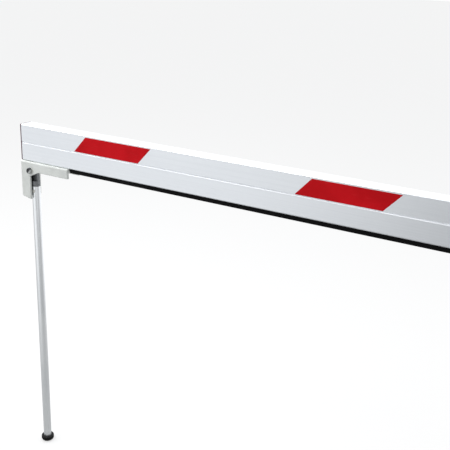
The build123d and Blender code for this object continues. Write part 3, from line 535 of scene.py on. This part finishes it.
# ================================================================ weld round the holder's hub
class Growth(Sketch):
    """A Geometry Nodes tree with named inputs."""

    def __init__(self, name, sizes):
        super().__init__(bpy.data.node_groups.new(name, "GeometryNodeTree"))
        face = self.tree.interface
        face.new_socket("Geometry", in_out="OUTPUT", socket_type="NodeSocketGeometry")
        self.sockets = {}
        for label, value in sizes.items():
            kind = "NodeSocketInt" if isinstance(value, int) else "NodeSocketFloat"
            self.sockets[label] = face.new_socket(label, in_out="INPUT", socket_type=kind)
        self.given = self.tree.nodes.new("NodeGroupInput")
        self.sizes = sizes

    def size(self, label):
        return Value(self.tree, self.given.outputs[label])

    def grow(self, name, geometry, material, body, slot):
        """Run the tree on an empty mesh and keep the result as a plain piece."""
        end = self.tree.nodes.new("NodeGroupOutput")
        whole = self.node("GeometryNodeRealizeInstances", None, {0: geometry})
        painted = self.node("GeometryNodeSetMaterial", None, {"Geometry": whole, "Material": material})
        join(self.tree, end.inputs[0], painted)
        seed = bpy.data.objects.new(name + "_seed", bpy.data.meshes.new(name + "_seed"))
        bpy.context.scene.collection.objects.link(seed)
        modifier = seed.modifiers.new("growth", "NODES")
        modifier.node_group = self.tree
        for label, value in self.sizes.items():
            modifier[self.sockets[label].identifier] = value
        bpy.context.view_layer.update()
        ready = seed.evaluated_get(bpy.context.evaluated_depsgraph_get())
        mesh = bpy.data.meshes.new_from_object(ready)
        bpy.data.objects.remove(seed)
        piece = bpy.data.objects.new(name, mesh)
        bpy.context.scene.collection.objects.link(piece)
        mesh.shade_smooth()
        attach(piece, body)
        return piece


def hub_weld():
    """Fillet weld in the corner between the hub and the plate, one ripple after another."""
    growth = Growth("hub_weld", {"Ring Radius": HUB, "Ripples": RIPPLES, "Bead Radius": BEAD,
                                 "Plate Depth": PLATE})
    ring = growth.node("GeometryNodeCurvePrimitiveCircle", None,
                       {"Resolution": growth.size("Ripples"), "Radius": growth.size("Ring Radius")})
    ripple = growth.node("GeometryNodeMeshUVSphere", None,
                         {"Segments": 10, "Rings": 6, "Radius": growth.size("Bead Radius")})
    tangent = growth.node("GeometryNodeInputTangent")
    facing = growth.node("FunctionNodeAlignRotationToVector", {"axis": "X"}, {"Vector": tangent})
    beads = growth.node("GeometryNodeInstanceOnPoints", None,
                        {"Points": ring, "Instance": ripple, "Rotation": facing, "Scale": (0.42, 1.0, 1.0)})
    upright = growth.node("GeometryNodeTransform", None,
                          {"Geometry": beads, "Rotation": (math.pi / 2, 0.0, 0.0),
                           "Translation": growth.vector(0.0, growth.size("Plate Depth") * -1.0, 0.0)})
    return growth.grow("hub_weld", upright, finishes["holder_paint"], "boom_arm", "holder_paint")


hub_weld()


# ================================================================ studio
def pale_floor():
    """Plain matt floor that glows a little, dimmer under the boom and in front of it to the right."""
    half = 60.0
    mesh = bpy.data.meshes.new("floor")
    corners = [(-half, -half, ground), (half, -half, ground), (half, half, ground), (-half, half, ground)]
    mesh.from_pydata(corners, [], [(0, 1, 2, 3)])
    floor = bpy.data.objects.new("floor", mesh)
    bpy.context.scene.collection.objects.link(floor)
    finish = Finish("floor_matt", {"Roughness": 0.9, "Specular IOR Level": 0.0,
                                   "Base Color": (0.30, 0.30, 0.30), "Emission Strength": 1.0})
    seen = finish.node("ShaderNodeLightPath", output="Is Camera Ray")
    aside = abs(finish.y - tip.y)
    front_share = finish.y < tip.y
    far_side = finish.x.rise(tip.x + 1.4, tip.x + 1.8)
    right_share = finish.x.rise(tip.x - 0.2, tip.x + 0.85) * front_share * (1.0 - far_side)
    glow = aside.rise(0.35, 1.5, 0.06, 0.71) * (1.0 - right_share)
    lit = finish.mix(seen, finish.vector(glow, glow, glow * 1.02), (0.60, 0.60, 0.60))
    mesh.materials.append(finish.put(Emission_Color=lit))


def studio_sky():
    """Soft white surroundings, brightest low behind the boom and dim on the camera's side."""
    world = bpy.data.worlds.new("studio")
    bpy.context.scene.world = world
    world.use_nodes = True
    sky = Sketch(world.node_tree)
    direction = sky.node("ShaderNodeTexCoord", output="Generated")

    def towards(x, y, z):
        return sky.node("ShaderNodeVectorMath", {"operation": "DOT_PRODUCT"},
                        {0: direction, 1: tuple(Vector((x, y, z)).normalized())}, output="Value")

    front = towards(0.30, -0.95, 0.0).rise(0.45, 0.97, 0.85, 0.25)
    behind = towards(-0.2, 0.9, 0.4).rise(0.0, 0.75)
    glow = front * (1.0 - behind) + behind * 1.35
    seen = sky.node("ShaderNodeLightPath", output="Is Camera Ray")
    colour = sky.mix(seen, sky.vector(glow * 0.98, glow * 0.99, glow), (1.0, 1.0, 1.0))
    join(sky.tree, world.node_tree.nodes["Background"].inputs["Color"], colour)


def softbox(name, place, target, width, height, power):
    """Rectangular studio light that faces a target."""
    light = bpy.data.lights.new(name, "AREA")
    light.shape = "RECTANGLE"
    light.size = width
    light.size_y = height
    light.energy = power
    lamp = bpy.data.objects.new(name, light)
    lamp.location = place
    lamp.rotation_mode = "QUATERNION"
    lamp.rotation_quaternion = (Vector(target) - Vector(place)).to_track_quat("-Z", "Y")
    bpy.context.scene.collection.objects.link(lamp)


def viewpoint():
    """Camera in front of the boom and above it, looking back along it towards the tip."""
    along, in_front, above = 1.2467, 1.2853, 0.4565     # from under the tip
    turn, tilt, lean = map(math.radians, (-27.81, 19.53, 2.70))
    ahead = Vector((math.sin(turn) * math.cos(tilt), math.cos(turn) * math.cos(tilt), -math.sin(tilt)))
    right = Vector((math.cos(turn), -math.sin(turn), 0.0))
    up = right.cross(ahead)
    leaned_right = math.cos(lean) * right + math.sin(lean) * up
    leaned_up = math.cos(lean) * up - math.sin(lean) * right
    camera = bpy.data.objects.new("camera", bpy.data.cameras.new("camera"))
    camera.data.lens = 56.54
    camera.data.clip_end = 200.0
    axes = Matrix((leaned_right, leaned_up, -ahead)).transposed().to_4x4()
    camera.matrix_world = Matrix.Translation(tip + Vector((along, -in_front, above))) @ axes
    bpy.context.scene.collection.objects.link(camera)
    bpy.context.scene.camera = camera


pale_floor()
studio_sky()
softbox("overhead", tip + Vector((0.9, 0.5, 2.2)), tip + Vector((0.7, 0.0, 0.0)), 3.2, 1.6, 14.0)
softbox("key", tip + Vector((-0.8, -0.8, 1.8)), tip + Vector((0.0, 0.0, 0.0)), 2.6, 0.9, 40.0)
viewpoint()
bpy.context.scene.view_settings.view_transform = "Standard"
